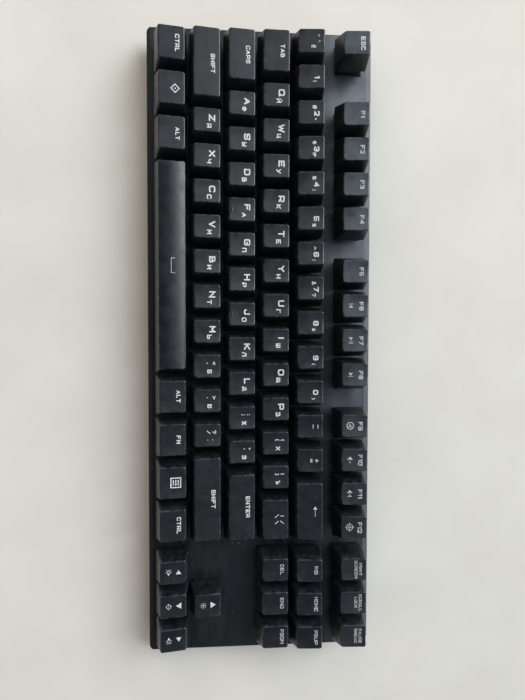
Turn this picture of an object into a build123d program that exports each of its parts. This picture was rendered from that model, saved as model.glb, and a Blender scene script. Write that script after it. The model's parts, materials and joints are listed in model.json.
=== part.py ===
from build123d import *

import math
import os

# A tenkeyless mechanical keyboard, 87 keys on a steel plate over a plastic tray.
# World frame: +X to the right, +Y to the rear, +Z up, origin on the table under the
# middle of the keyboard. The plate, the switches and the keys are drawn in the deck
# frame, whose z = 0 is the plate's upper face, and are then tilted into place.

# ---------------------------------------------------------------- driving dimensions
UNIT = 19.05                        # key pitch
KEY_GAP = 0.95                      # gap between two keycaps
KEY_FIELD_UNITS = 18.25             # width of the whole key field
FUNCTION_ROW_OFFSET = 25.0          # number row to function row

PLATE_WIDTH = 359.0
PLATE_DEPTH = 130.0
PLATE_THICKNESS = 1.5
PLATE_CORNER = 2.5
PLATE_TILT = 2.5                    # degrees, rear edge up
PLATE_FRONT_HEIGHT = 11.5           # upper face over the table at the front edge
FRONT_LIP, FRONT_LIP_ANGLE = 2.0, 24.0     # plan width and bend of the front edge
REAR_LIP, REAR_LIP_ANGLE = 3.3, 35.0       # plan width and bend of the rear edge

CUTOUT = 14.0                       # switch opening in the plate
BOARD_TOP = -5.0                    # circuit board's upper face, in the deck frame
BOARD_THICKNESS = 1.6
SKIRT_HEIGHT = 6.1                  # keycap's lower edge over the plate
HOUSING_TOP = 6.6                   # switch cover's top over the plate

CASE_WALL = 2.0
CASE_FLOOR = 2.0
CASE_SIDE_INSET = 1.0               # tray's rim inside the plate's side edges
CASE_DRAFT = 2.4                    # how far the tray's foot stands in from its rim
CASE_CORNER = 4.0
PAD_PROUD = 1.0                     # rubber pads carry the tray this far off the table

CAP_WALL = 1.35
CAP_ROOF = 1.5
CAP_CORNER = 1.1
CAP_TOP_CORNER = 1.2
CAP_TOP_NARROWER = 5.7              # keycap's top is narrower than its foot by this
CAP_TOP_DEPTH = 14.0
DISH_DEPTH = 0.6
BAR_CROWN = 1.0                     # rise of the space bar's rounded top

# keycap rows: height and tilt of the top (front edge up is negative), and how far
# the top stands behind the middle of the foot
ROW_PROFILE = {
    "bottom": (15.2, -8.0, 1.75),
    "shift": (15.2, -7.0, 1.75),
    "caps": (15.1, -5.0, 1.7),
    "tab": (15.5, -1.0, 1.4),
    "number": (17.2, 3.0, 1.3),
    "function": (17.2, 3.0, 1.3),
}

# ---------------------------------------------------------------- derived places
FIRST_ROW_Y = -(4 * UNIT + FUNCTION_ROW_OFFSET) / 2
MAIN_ROWS = ["bottom", "shift", "caps", "tab", "number"]
ROW_Y = {name: FIRST_ROW_Y + i * UNIT for i, name in enumerate(MAIN_ROWS)}
ROW_Y["function"] = ROW_Y["number"] + FUNCTION_ROW_OFFSET

TILT = math.radians(PLATE_TILT)
DECK_LIFT = PLATE_FRONT_HEIGHT + PLATE_DEPTH / 2 * math.sin(TILT)
DECK = Location((0, 0, DECK_LIFT), (PLATE_TILT, 0, 0))
BOARD_BOTTOM = BOARD_TOP - BOARD_THICKNESS
PLATE_BOTTOM = -PLATE_THICKNESS
CASE_BOTTOM = PAD_PROUD

# ---------------------------------------------------------------- the key layout
# node name: [(row, middle from the left end in units, width in units), ...]
KEYS = {}


def key(node, row, middle, width=1.0):
    KEYS.setdefault(node, []).append((row, middle, width))


def key_run(nodes, row, first_middle):
    for i, node in enumerate(nodes):
        key(node, row, first_middle + i)


def letters(word):
    return [f"key_{letter}" for letter in word]


key("escape_key", "function", 0.5)
key("tab_key", "tab", 0.75, 1.5)
key_run(letters("qwertyuiop"), "tab", 2.0)
key("caps_lock_key", "caps", 0.875, 1.75)
key_run(letters("asdfghjkl"), "caps", 2.25)
key("enter_key", "caps", 13.875, 2.25)
key("left_shift_key", "shift", 1.125, 2.25)
key_run(letters("zxcvbnm"), "shift", 2.75)
key("right_shift_key", "shift", 13.625, 2.75)
key("backspace_key", "number", 14.0, 2.0)
for i, node in enumerate(["left_ctrl_key", "super_key", "left_alt_key"]):
    key(node, "bottom", 0.625 + 1.25 * i, 1.25)
key("space_bar", "bottom", 6.875, 6.25)
for i, node in enumerate(["right_alt_key", "fn_key", "menu_key", "right_ctrl_key"]):
    key(node, "bottom", 10.625 + 1.25 * i, 1.25)
for first in (2.5, 7.0, 11.5):
    key_run(["function_keys"] * 4, "function", first)
key_run(["number_and_symbol_keys"] * 13, "number", 0.5)
key_run(["number_and_symbol_keys"] * 2, "tab", 12.0)
key("number_and_symbol_keys", "tab", 14.25, 1.5)
key_run(["number_and_symbol_keys"] * 2, "caps", 11.25)
key_run(["number_and_symbol_keys"] * 3, "shift", 9.75)
key_run(["arrow_keys"] * 3, "bottom", 15.75)
key("arrow_keys", "shift", 16.75)
for row in ("tab", "number", "function"):
    key_run(["navigation_keys"] * 3, row, 15.75)

ALL_KEYS = [spot for spots in KEYS.values() for spot in spots]

# stabilisers: how far each stem stands from the key's middle, by the key's width
STABILISER_REACH = {2.0: 11.938, 2.25: 11.938, 2.75: 11.938, 6.25: 50.0}


def key_place(row, middle):
    return Location(((middle - KEY_FIELD_UNITS / 2) * UNIT, ROW_Y[row], 0))


def stabilised_keys():
    wide = [spot for spot in ALL_KEYS if spot[2] in STABILISER_REACH]
    return [(row, middle, STABILISER_REACH[width]) for row, middle, width in wide]


def stabiliser_places():
    for row, middle, reach in stabilised_keys():
        for side in (-1, 1):
            yield key_place(row, middle) * Location((side * reach, 0, 0))


# ---------------------------------------------------------------- small helpers
def block(x_size, y_size, z_low, z_high, x=0.0, y=0.0):
    """A box by its plan size and its lower and upper height."""
    return Location((x, y, (z_low + z_high) / 2)) * Box(x_size, y_size, z_high - z_low)


def rod(radius, z_low, z_high, x=0.0, y=0.0):
    """An upright cylinder by its lower and upper height."""
    return Location((x, y, (z_low + z_high) / 2)) * Cylinder(radius, z_high - z_low)


def lofted(low, low_place, high, high_place):
    """A straight-walled solid between two outlines."""
    return loft([low_place * low, high_place * high], ruled=True)


def frustum(low_size, high_size, z_low, z_high):
    low, high = Rectangle(*low_size), Rectangle(*high_size)
    return lofted(low, Location((0, 0, z_low)), high, Location((0, 0, z_high)))


def save(node, shapes, place=Location()):
    """One STEP file for a node, from one solid or a group of separate solids."""
    solids = [place * solid for shape in shapes for solid in shape.solids()]
    export_step(solids[0] if len(solids) == 1 else Compound(children=solids), f"parts/{node}.step")


# ---------------------------------------------------------------- plate
SCREW_PLACES = [
    *[(x, (ROW_Y["bottom"] + ROW_Y["shift"]) / 2) for x in (-140.0, 45.0, 85.0, 145.25)],
    *[(x, (ROW_Y["caps"] + ROW_Y["tab"]) / 2) for x in (-140.0, -50.0, 45.0)],
    *[(x, (ROW_Y["tab"] + ROW_Y["number"]) / 2) for x in (-95.0, 0.0, 95.0, 135.7)],
]
SCREW_RADIUS = 1.0
SCREW_HEAD_RADIUS = 1.6
STANDOFF_RADIUS = 2.3

HOUSING_SIZE = (6.5, 12.0)          # stabiliser housing, through the plate
HOUSING_CLIP_Y = 8.3                # where the stabiliser's wire runs behind the stems
WIRE_RADIUS = 0.8
WIRE_Z = -3.2


def plate_profile():
    """The sheet's section across its depth, with its front and rear edges bent down."""
    front, rear = -PLATE_DEPTH / 2, PLATE_DEPTH / 2
    front_bend, rear_bend = math.radians(FRONT_LIP_ANGLE), math.radians(REAR_LIP_ANGLE)
    front_top = (front, -FRONT_LIP * math.tan(front_bend))
    rear_top = (rear, -REAR_LIP * math.tan(rear_bend))
    t = PLATE_THICKNESS
    points = [
        front_top,
        (front + FRONT_LIP, 0),
        (rear - REAR_LIP, 0),
        rear_top,
        (rear_top[0] - t * math.sin(rear_bend), rear_top[1] - t * math.cos(rear_bend)),
        (rear - REAR_LIP - t * math.tan(rear_bend / 2), -t),
        (front + FRONT_LIP + t * math.tan(front_bend / 2), -t),
        (front_top[0] + t * math.sin(front_bend), front_top[1] - t * math.cos(front_bend)),
    ]
    return make_face(Polyline(*points, close=True))


def top_plate():
    sheet = extrude(Plane.YZ * plate_profile(), amount=PLATE_WIDTH / 2, both=True)
    outline = extrude(RectangleRounded(PLATE_WIDTH, PLATE_DEPTH, PLATE_CORNER), amount=8, both=True)
    holes = [key_place(row, middle) * Rectangle(CUTOUT, CUTOUT) for row, middle, _ in ALL_KEYS]
    slot = Location((0, 1.95)) * Rectangle(HOUSING_SIZE[0] + 0.5, HOUSING_SIZE[1] + 4.5)
    holes += [place * slot for place in stabiliser_places()]
    holes += [Location((x, y)) * Circle(SCREW_RADIUS + 0.3) for x, y in SCREW_PLACES]
    cutters = [extrude(hole, amount=PLATE_THICKNESS + 1, both=True) for hole in holes]
    return (sheet & outline) - cutters


# ---------------------------------------------------------------- switches
BASE_BODY = 13.9
BASE_CAVITY_FLOOR = -3.4
TUBE_RADIUS, TUBE_TOP = 1.7, -1.0
BORE_RADIUS = 1.15
POST_RADIUS, POST_BOTTOM = 1.95, -8.2
CONTACT_PINS = [(3.81, -2.54), (-2.54, -5.08)]
LED_LEGS = [(-1.27, 5.08), (1.27, 5.08)]
LED_Y = 5.08
LED_RADIUS = 1.45
COVER_OPENING = (7.4, 6.0)


def switch_base():
    """The lower housing: a flange on the plate, a box through it, a guide tube and a locating post."""
    flange = block(15.6, 15.6, 0, 1.0)
    body = block(BASE_BODY, BASE_BODY, BOARD_TOP, 0)
    hollow = block(11.6, 11.6, BASE_CAVITY_FLOOR, 1.0)
    tube = rod(TUBE_RADIUS, BASE_CAVITY_FLOOR, TUBE_TOP)
    post = rod(POST_RADIUS, POST_BOTTOM, BOARD_TOP)
    bore = rod(BORE_RADIUS, POST_BOTTOM + 1.0, TUBE_TOP)
    pin_slots = [block(1.7, 1.2, BOARD_TOP, BASE_CAVITY_FLOOR, x, y) for x, y in CONTACT_PINS]
    leg_holes = [rod(0.45, BOARD_TOP, BASE_CAVITY_FLOOR, x, y) for x, y in LED_LEGS]
    return flange + body - hollow + tube + post - bore - pin_slots - leg_holes


def switch_cover():
    """The upper housing: a tapered lid with an opening for the slider and a notch for the light."""
    shell = frustum((14.6, 14.6), (10.6, 9.8), 1.0, HOUSING_TOP)
    hollow = frustum((12.6, 12.6), (9.0, 8.4), 1.0, HOUSING_TOP - 1.0)
    opening = block(*COVER_OPENING, HOUSING_TOP - 1.2, HOUSING_TOP)
    notch = rod(LED_RADIUS + 0.25, 1.0, HOUSING_TOP, 0, LED_Y)
    return shell - hollow - opening - notch


SPRING_RADIUS = 1.98
SPRING_WIRE = 0.175
SPRING_BOTTOM, SPRING_TOP = -3.15, 2.75
SPRING_TURNS = 4


def switch_spring():
    height = SPRING_TOP - SPRING_BOTTOM
    path = Helix(pitch=height / SPRING_TURNS, height=height, radius=SPRING_RADIUS)
    section = Plane(origin=path @ 0, z_dir=path % 0) * Circle(SPRING_WIRE)
    return Location((0, 0, SPRING_BOTTOM)) * sweep(section, path=path)


def switch_contacts():
    """The fixed and the moving leaf in front of the slider, each with its pin through the board."""
    (side_x, side_y), (front_x, front_y) = CONTACT_PINS
    pin_bottom = BOARD_BOTTOM - 1.2
    moving_y = -4.3
    moving = block(0.9, 0.4, pin_bottom, -2.5, side_x, side_y)
    moving += block(0.9, side_y - moving_y + 0.2, -3.0, -2.5, side_x, (side_y + moving_y) / 2)
    moving += block(4.6, 0.2, -3.0, 1.6, side_x - 1.85, moving_y)
    fixed = block(0.9, 0.4, pin_bottom, -2.5, front_x, front_y)
    fixed += block(4.2, 0.2, -2.5, 1.6, front_x + 1.65, front_y)
    return [moving, fixed]


def key_light():
    """A 3 mm lamp in the cover's notch, with two legs through the board."""
    lamp = rod(LED_RADIUS, 1.2, 4.4, 0, LED_Y) + Location((0, LED_Y, 4.4)) * Sphere(LED_RADIUS)
    return lamp + [rod(0.25, BOARD_BOTTOM - 1.2, 1.3, x, y) for x, y in LED_LEGS]


def slider():
    """The switch's stem: a cross for the keycap, a block, two guide rails and a pin down the spring."""
    body = block(7.0, 5.6, 3.0, HOUSING_TOP)
    rails = [block(1.0, 2.0, 1.2, 4.6, side * 3.8) for side in (-1, 1)]
    pin = rod(0.95, -2.6, 3.0)
    return body + rails + pin + cross(4.0, 1.15, 1.25, HOUSING_TOP, HOUSING_TOP + 3.6)


def cross(length, thick_x, thick_y, z_low, z_high):
    return block(length, thick_x, z_low, z_high) + block(thick_y, length, z_low, z_high)


# ---------------------------------------------------------------- stabilisers
STEM_LOW = 1.7


def stabiliser_housing():
    """A box through the plate with a flange on it, open at the top, and a clip for the wire behind."""
    width, depth = HOUSING_SIZE
    flange = block(width + 1.5, depth + 6.0, 0, 0.8, 0, 1.95)
    shell = block(width, depth, -3.0, 2.3)
    clip = block(width, 3.6, WIRE_Z - 1.5, -0.2, 0, HOUSING_CLIP_Y)
    bridge = block(width, 1.2, -3.0, 0, 0, 6.3)
    hollow = block(4.7, 7.2, -2.6, 2.3)
    wire_hole = Location((0, HOUSING_CLIP_Y, WIRE_Z), (0, 90, 0)) * Cylinder(WIRE_RADIUS + 0.2, width + 1)
    return flange + shell + clip + bridge - hollow - wire_hole


def stabiliser_stem():
    return block(4.1, 6.6, STEM_LOW, HOUSING_TOP) + cross(4.0, 1.15, 1.25, HOUSING_TOP, HOUSING_TOP + 3.6)


def stabiliser_wire(reach):
    """A round wire behind the stems, with both ends bent forward beside the housings."""
    end_x = reach + HOUSING_SIZE[0] / 2 + 1.9
    corners = [
        (-end_x, HOUSING_CLIP_Y - 6.5, WIRE_Z),
        (-end_x, HOUSING_CLIP_Y, WIRE_Z),
        (end_x, HOUSING_CLIP_Y, WIRE_Z),
        (end_x, HOUSING_CLIP_Y - 6.5, WIRE_Z),
    ]
    path = FilletPolyline(*corners, radius=1.4)
    return sweep(Plane(origin=path @ 0, z_dir=path % 0) * Circle(WIRE_RADIUS), path=path)


# ---------------------------------------------------------------- keycaps
BOSS_RADIUS = 2.75
BOSS_LOW = HOUSING_TOP + 0.1
made_caps = {}


def cap_blank(width, row, wall, lower, upper):
    """The keycap's tapered body, or with a wall its hollow, between two heights over its nominal faces."""
    height, tilt, set_back = ROW_PROFILE[row]
    foot = RectangleRounded(width - 2 * wall, UNIT - KEY_GAP - 2 * wall, CAP_CORNER - wall / 2)
    top = RectangleRounded(
        width - CAP_TOP_NARROWER - 2 * wall, CAP_TOP_DEPTH - 2 * wall, CAP_TOP_CORNER - wall / 2
    )
    top_place = Location((0, set_back, height + upper), (tilt, 0, 0))
    return lofted(foot, Location((0, 0, SKIRT_HEIGHT + lower)), top, top_place)


def dish(width, row):
    """A shallow trough along the key's depth, as wide as the keycap's top."""
    height, tilt, set_back = ROW_PROFILE[row]
    half = (width - CAP_TOP_NARROWER) / 2
    radius = (half**2 + DISH_DEPTH**2) / (2 * DISH_DEPTH)
    trough = Location((0, 0, radius - DISH_DEPTH), (90, 0, 0)) * Cylinder(radius, 2 * CAP_TOP_DEPTH)
    above = Location((0, 0, 5)) * Box(width, 2 * CAP_TOP_DEPTH, 10.4)
    return Location((0, set_back, height), (tilt, 0, 0)) * (trough & above)


def crown(width, row):
    """The rounded top of the space bar, as the space under a lying cylinder."""
    height, tilt, set_back = ROW_PROFILE[row]
    half = CAP_TOP_DEPTH / 2
    radius = (half**2 + BAR_CROWN**2) / (2 * BAR_CROWN)
    return Location((0, set_back, height), (tilt, 0, 0)) * (
        Location((0, 0, -radius), (0, 90, 0)) * Cylinder(radius, width + 4)
        + Location((0, 0, -radius)) * Box(width + 4, 2 * radius, 2 * radius - BAR_CROWN)
    )


def keycap(row, units):
    """A keycap over the deck's origin: a hollow tapered cap with a socket for each stem."""
    if (row, units) in made_caps:
        return made_caps[row, units]
    width = units * UNIT - KEY_GAP
    stems = [0.0]
    if units in STABILISER_REACH:
        stems += [-STABILISER_REACH[units], STABILISER_REACH[units]]
    if units > 3:
        cap = cap_blank(width, row, 0, 0, 0) & crown(width, row)
    else:
        cap = cap_blank(width, row, 0, 0, 0) - dish(width, row)
    roof = CAP_ROOF + (BAR_CROWN if units > 3 else DISH_DEPTH)
    cap -= cap_blank(width, row, CAP_WALL, 0, -roof)
    height = ROW_PROFILE[row][0]
    for x in stems:
        cap += rod(BOSS_RADIUS, BOSS_LOW, height - roof + 0.6, x)
        cap -= Location((x, 0, 0)) * cross(4.1, 1.25, 1.35, BOSS_LOW, HOUSING_TOP + 3.8)
    made_caps[row, units] = cap
    return cap


def key_solids(spots):
    """Each key's cap, slider and stabiliser stems, as separate solids."""
    stem = slider()
    side_stem = stabiliser_stem()
    for row, middle, units in spots:
        place = key_place(row, middle)
        yield place * keycap(row, units)
        yield place * stem
        if units in STABILISER_REACH:
            for side in (-1, 1):
                yield place * Location((side * STABILISER_REACH[units], 0, 0)) * side_stem


# ---------------------------------------------------------------- circuit board
BOARD_SIZE = (350.0, 116.0)
SOCKET_PLACE = (-116.7, 50.0)       # cable socket under the board's rear edge
SOCKET_SHELL = (7.7, 9.0, 4.0)
SOCKET_MOUTH_Y = SOCKET_PLACE[1] + SOCKET_SHELL[1] / 2
RECESS_SIZE = (11.0, 5.2)           # opening for the cable's plug, width and height
RECESS_TOP = -6.2
RECESS_WALL = 1.4


def circuit_board():
    outline = extrude(RectangleRounded(*BOARD_SIZE, 3), amount=-BOARD_THICKNESS)
    holes = []
    for row, middle, _ in ALL_KEYS:
        place = key_place(row, middle)
        holes.append(place * Circle(POST_RADIUS + 0.2))
        holes += [place * Location(pin) * Circle(0.8) for pin in CONTACT_PINS]
        holes += [place * Location(leg) * Circle(0.5) for leg in LED_LEGS]
    holes += [Location((x, y)) * Circle(STANDOFF_RADIUS + 0.4) for x, y in SCREW_PLACES]
    notch_depth = BOARD_SIZE[1] / 2 - SOCKET_MOUTH_Y + 0.3
    notch_y = BOARD_SIZE[1] / 2 - notch_depth / 2
    notch = Rectangle(RECESS_SIZE[0] + 2 * RECESS_WALL + 0.6, notch_depth)
    holes.append(Location((SOCKET_PLACE[0], notch_y)) * notch)
    holes = extrude(Sketch() + holes, amount=-BOARD_THICKNESS)
    return Location((0, 0, BOARD_TOP)) * (outline - holes)


def usb_socket():
    """A small metal cable socket with its tongue, open to the rear."""
    width, depth, height = SOCKET_SHELL
    top = BOARD_BOTTOM
    x, y = SOCKET_PLACE
    shell = block(width, depth, top - height, top, x, y)
    shell -= block(width - 0.8, depth - 1.0, top - height + 0.4, top - 0.4, x, y + 0.5)
    return shell + block(5.0, depth - 2.5, top - 2.6, top - 1.4, x, y - 0.5)


# ---------------------------------------------------------------- tray, feet and pads
FOOT_X = 137.0                      # foot's middle from the keyboard's middle
FOOT_WIDTH = 25.0
FOOT_LENGTH = 17.0
FOOT_THICKNESS = 3.0
FOOT_PIVOT_Y = 50.0
FOOT_PIVOT_Z = 3.4
FOOT_BARREL = 1.9
POCKET_ROOF = 5.8
PIVOT_RADIUS = 1.0

RIM_Y = ((-PLATE_DEPTH + 2 * FRONT_LIP) / 2 + 0.8, (PLATE_DEPTH - 2 * REAR_LIP) / 2 - 0.8)
PAD_PLACES = [
    *[(x, -50.0, 46.0, 7.0) for x in (-135.0, 0.0, 135.0)],
    *[(x, 50.0, 20.0, 7.0) for x in (-100.0, 100.0)],
]
PAD_CORNER = 3.0
PAD_RECESS = 0.8


def tray_body(inset, floor, top):
    """The tray's tapered block above a floor height, shrunk by a wall."""
    width = PLATE_WIDTH - 2 * CASE_SIDE_INSET - 2 * inset
    depth = RIM_Y[1] - RIM_Y[0] - 2 * inset
    middle = (RIM_Y[0] + RIM_Y[1]) / 2
    deep = 20.0
    rim = RectangleRounded(width, depth, CASE_CORNER - inset / 2)
    foot = RectangleRounded(width - 2 * CASE_DRAFT, depth - 2 * CASE_DRAFT, CASE_CORNER - inset / 2)
    body = lofted(foot, Location((0, middle, -deep)), rim, Location((0, middle, top)))
    return (DECK * body) & above(floor)


def above(height):
    """All of the space over a level height."""
    return block(2 * PLATE_WIDTH, 2 * PLATE_DEPTH, height, height + 60)


def socket_tunnel(wall, rear):
    """The opening that a cable's plug goes into, or with a wall its surround, up to a rear end."""
    width, height = RECESS_SIZE
    front = SOCKET_MOUTH_Y + 0.2
    low, high = RECESS_TOP - height - wall, RECESS_TOP + min(wall, 1.0)
    return block(width + 2 * wall, rear - front, low, high, SOCKET_PLACE[0], (front + rear) / 2)


def bottom_case():
    case = tray_body(0, CASE_BOTTOM, PLATE_BOTTOM)
    case -= tray_body(CASE_WALL, CASE_BOTTOM + CASE_FLOOR, PLATE_BOTTOM)
    standoffs = [DECK * rod(STANDOFF_RADIUS, -20, PLATE_BOTTOM, x, y) for x, y in SCREW_PLACES]
    case += [standoff & above(CASE_BOTTOM + 1) for standoff in standoffs]
    case += DECK * socket_tunnel(RECESS_WALL, RIM_Y[1] - CASE_WALL)
    pocket_length = FOOT_LENGTH + FOOT_BARREL + 1.2
    pocket_y = FOOT_PIVOT_Y + FOOT_BARREL + 0.5 - pocket_length / 2
    pivot_hole = Cylinder(PIVOT_RADIUS + 0.25, FOOT_WIDTH + 4.4)
    for side in (-1, 1):
        x = side * FOOT_X
        case += block(FOOT_WIDTH + 7, pocket_length + 3, CASE_BOTTOM, POCKET_ROOF + 1.5, x, pocket_y)
        case -= block(FOOT_WIDTH + 0.8, pocket_length, CASE_BOTTOM, POCKET_ROOF, x, pocket_y)
        case -= Location((x, FOOT_PIVOT_Y, FOOT_PIVOT_Z), (0, 90, 0)) * pivot_hole
        case -= block(12, 6, CASE_BOTTOM, CASE_BOTTOM + 1.2, x, pocket_y - pocket_length / 2 - 2)
    case -= [DECK * rod(SCREW_RADIUS + 0.05, -6.5, PLATE_BOTTOM, x, y) for x, y in SCREW_PLACES]
    case -= DECK * socket_tunnel(0, PLATE_DEPTH / 2)
    case -= [pad_blank(*pad, CASE_BOTTOM, CASE_BOTTOM + PAD_RECESS) for pad in PAD_PLACES]
    case -= extrude(Location((0, 10, CASE_BOTTOM)) * RectangleRounded(90, 34, 2), amount=0.4)
    return case


def pad_blank(x, y, x_size, y_size, z_low, z_high):
    outline = RectangleRounded(x_size, y_size, PAD_CORNER)
    return extrude(Location((x, y, z_low)) * outline, amount=z_high - z_low)


def rubber_pads():
    return [pad_blank(x, y, sx - 0.4, sy - 0.4, 0, CASE_BOTTOM + PAD_RECESS) for x, y, sx, sy in PAD_PLACES]


def case_screw(x, y):
    """A pan-head screw through the plate into its standoff."""
    head = rod(SCREW_HEAD_RADIUS, 0, 1.2) - cross(1.8, 0.4, 0.4, 0.5, 1.2)
    return Location((x, y, 0)) * (head + rod(SCREW_RADIUS, -6.0, 0))


def folding_foot(side):
    """A flat leg with a round hinge barrel and two pivot pins at its rear end."""
    leaf_top = FOOT_PIVOT_Z - FOOT_BARREL + FOOT_THICKNESS
    leaf_y = FOOT_PIVOT_Y - FOOT_LENGTH / 2
    leaf = block(FOOT_WIDTH, FOOT_LENGTH, FOOT_PIVOT_Z - FOOT_BARREL, leaf_top, 0, leaf_y)
    recess = block(FOOT_WIDTH - 8, 8, leaf_top - 1.2, leaf_top, 0, leaf_y)
    barrel = Location((0, FOOT_PIVOT_Y, FOOT_PIVOT_Z), (0, 90, 0)) * Cylinder(FOOT_BARREL, FOOT_WIDTH)
    pins = Location((0, FOOT_PIVOT_Y, FOOT_PIVOT_Z), (0, 90, 0)) * Cylinder(PIVOT_RADIUS, FOOT_WIDTH + 4)
    return Location((side * FOOT_X, 0, 0)) * (leaf - recess + barrel + pins)


# ---------------------------------------------------------------- write every node
def at_every_key(shapes):
    return [key_place(row, middle) * shape for row, middle, _ in ALL_KEYS for shape in shapes]


def main():
    os.makedirs("parts", exist_ok=True)
    save("bottom_case", [bottom_case()])
    save("rubber_pads", rubber_pads())
    save("left_foot", [folding_foot(-1)])
    save("right_foot", [folding_foot(1)])
    save("top_plate", [top_plate()], DECK)
    save("circuit_board", [circuit_board()], DECK)
    save("usb_socket", [usb_socket()], DECK)
    save("case_screws", [case_screw(x, y) for x, y in SCREW_PLACES], DECK)
    save("switch_bases", at_every_key([switch_base()]), DECK)
    save("switch_covers", at_every_key([switch_cover()]), DECK)
    save("switch_springs", at_every_key([switch_spring()]), DECK)
    save("switch_contacts", at_every_key(switch_contacts()), DECK)
    save("key_leds", at_every_key([key_light()]), DECK)
    housing = stabiliser_housing()
    save("stabiliser_housings", [place * housing for place in stabiliser_places()], DECK)
    wires = [key_place(row, middle) * stabiliser_wire(reach) for row, middle, reach in stabilised_keys()]
    save("stabiliser_wires", wires, DECK)
    for node, spots in KEYS.items():
        save(node, list(key_solids(spots)), DECK)


main()
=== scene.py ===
import json
import math
import random

import bmesh
import bpy
from mathutils import Matrix, Vector


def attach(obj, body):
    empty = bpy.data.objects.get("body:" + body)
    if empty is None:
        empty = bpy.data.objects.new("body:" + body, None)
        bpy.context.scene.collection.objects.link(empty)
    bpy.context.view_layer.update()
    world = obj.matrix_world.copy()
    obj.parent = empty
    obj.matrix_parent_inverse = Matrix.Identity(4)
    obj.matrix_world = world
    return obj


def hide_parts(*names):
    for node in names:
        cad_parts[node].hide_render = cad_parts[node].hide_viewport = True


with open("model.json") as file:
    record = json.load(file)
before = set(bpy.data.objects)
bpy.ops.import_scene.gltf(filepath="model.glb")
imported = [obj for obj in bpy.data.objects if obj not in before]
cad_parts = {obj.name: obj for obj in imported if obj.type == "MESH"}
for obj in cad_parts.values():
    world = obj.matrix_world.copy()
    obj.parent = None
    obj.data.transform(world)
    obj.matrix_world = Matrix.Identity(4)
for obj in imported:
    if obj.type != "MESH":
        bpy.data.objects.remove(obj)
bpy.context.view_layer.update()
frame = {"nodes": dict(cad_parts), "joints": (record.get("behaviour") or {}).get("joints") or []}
random.seed(7)

# ---------------------------------------------------------------- driving dimensions
# Keys, legends and the camera are laid out in millimetres in the deck frame: x to the
# right, y to the rear, z up from the plate's upper face. DECK turns them into the scene.
UNIT = 19.05
KEY_GAP = 0.95
KEY_FIELD_UNITS = 18.25
FUNCTION_ROW_OFFSET = 25.0
PLATE_DEPTH = 130.0
PLATE_FRONT_HEIGHT = 11.5

SKIRT_HEIGHT = 6.1
HOUSING_TOP = 6.6
CAP_WALL = 1.35
CAP_ROOF = 1.5
CAP_CORNER = 1.1
CAP_TOP_CORNER = 1.2
CAP_TOP_NARROWER = 5.7
CAP_TOP_DEPTH = 14.0
CAP_INNER_CORNER = 0.8
CAP_EDGE = 0.52                     # reach of the rounding along the top's edge
CAP_LIP = 0.22                      # reach of the small bevel around the skirt
SIDE_STEPS = 8                      # mesh faces along one unit of a keycap's side
DISH_DEPTH = 0.6
BAR_CROWN = 1.0
BAR_UNITS = 6.25
STABILISER_REACH = {2.0: 11.938, 2.25: 11.938, 2.75: 11.938, 6.25: 50.0}

BOSS_RADIUS, BOSS_TOP = 2.75, 12.8
STEM_BOTTOM = 3.1                   # clears the switch's guide tube at full travel
SLIDER_SIZE, SIDE_STEM_SIZE = (7.0, 5.6), (4.1, 6.6)

# rows of keycaps: height of the top, its tilt in degrees, and how far it stands back
ROW_PROFILE = {
    "bottom": (15.2, -8.0, 1.75),
    "shift": (15.2, -7.0, 1.75),
    "caps": (15.1, -5.0, 1.7),
    "tab": (15.5, -1.0, 1.4),
    "number": (17.2, 3.0, 1.3),
    "function": (17.2, 3.0, 1.3),
}

MAIN_ROWS = ["bottom", "shift", "caps", "tab", "number"]
FIRST_ROW_Y = -(4 * UNIT + FUNCTION_ROW_OFFSET) / 2
ROW_Y = {name: FIRST_ROW_Y + i * UNIT for i, name in enumerate(MAIN_ROWS)}
ROW_Y["function"] = ROW_Y["number"] + FUNCTION_ROW_OFFSET

press = next(joint for joint in frame["joints"] if joint["name"] == "key_g_press")
TILT = math.atan2(press["axis"][1], -press["axis"][2])
DECK_LIFT = PLATE_FRONT_HEIGHT + PLATE_DEPTH / 2 * math.sin(TILT)
DECK = (
    Matrix.Diagonal((0.001, 0.001, 0.001, 1.0))
    @ Matrix.Translation((0, 0, DECK_LIFT))
    @ Matrix.Rotation(TILT, 4, "X")
)

# ---------------------------------------------------------------- node helpers


def add(tree, kind, inputs, **settings):
    """A new shader node, with its settings made and its inputs set or linked."""
    made = tree.nodes.new("ShaderNode" + kind)
    for name, value in settings.items():
        setattr(made, name, value)
    for socket, value in inputs.items():
        if isinstance(value, bpy.types.NodeSocket):
            tree.links.new(value, made.inputs[socket])
        else:
            made.inputs[socket].default_value = value
    return made


def rgb(hexadecimal):
    """A linear colour from an sRGB code."""
    parts = [int(hexadecimal[i:i + 2], 16) / 255 for i in (0, 2, 4)]
    return (*[p / 12.92 if p <= 0.04045 else ((p + 0.055) / 1.055) ** 2.4 for p in parts], 1.0)


def noise(tree, coords, grain, detail=3.0, stretch=(1, 1, 1)):
    """Noise whose features are about grain millimetres across."""
    if stretch != (1, 1, 1):
        coords = add(tree, "Mapping", {"Vector": coords, "Scale": stretch}).outputs[0]
    inputs = {"Vector": coords, "Scale": 1000.0 / grain, "Detail": detail}
    return add(tree, "TexNoise", inputs).outputs["Fac"]


def spread(tree, value, low, high, to_low=0.0, to_high=1.0):
    """value's range low to high, stretched to another range and kept inside it."""
    inputs = {"Value": value, "From Min": low, "From Max": high, "To Min": to_low, "To Max": to_high}
    return add(tree, "MapRange", inputs).outputs["Result"]


def mixed(tree, factor, first, second):
    """A colour between two colours."""
    made = add(tree, "Mix", {"Factor": factor}, data_type="RGBA")
    for index, value in ((6, first), (7, second)):
        if isinstance(value, bpy.types.NodeSocket):
            tree.links.new(value, made.inputs[index])
        else:
            made.inputs[index].default_value = value
    return made.outputs[2]


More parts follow.
